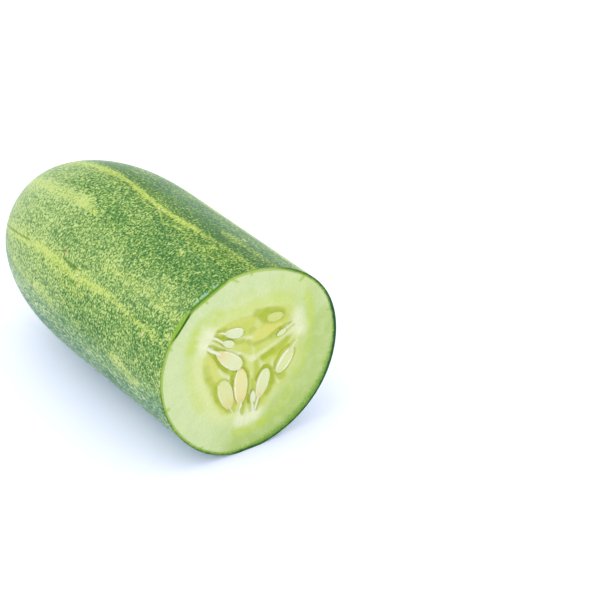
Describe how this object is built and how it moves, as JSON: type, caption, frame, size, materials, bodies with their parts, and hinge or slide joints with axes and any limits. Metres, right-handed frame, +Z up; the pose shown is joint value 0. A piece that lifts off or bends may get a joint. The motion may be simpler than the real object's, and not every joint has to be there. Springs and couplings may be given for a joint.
{
  "type": "cut cucumber",
  "caption": "Slicing cucumber cut across, lying on its side: mottled green peel, rounded blossom end, and a flat cut face with pale flesh, gel chambers and seeds.",
  "frame": {"origin": "middle of the underside of the whole object's box, on the surface that it lies on", "axes": "+X along the fruit's axis, out of the cut face; +Z up; +Y to the left of +X seen from above"},
  "size_m": [0.1022, 0.055, 0.0534],
  "materials": {
    "peel": "satin green peel with fine pale flecks, light stripes along the veins and low spine scars",
    "flesh": "moist pale green flesh, slightly translucent, with yellow-green gel in the seed chambers",
    "seed": "soft cream seeds on white stalks, moist"
  },
  "bodies": {
    "root": {"peel": "peel", "flesh": "flesh", "seed_cluster_left": "seed", "seed_cluster_right": "seed", "seed_cluster_low": "seed"}
  },
  "joints": []
}
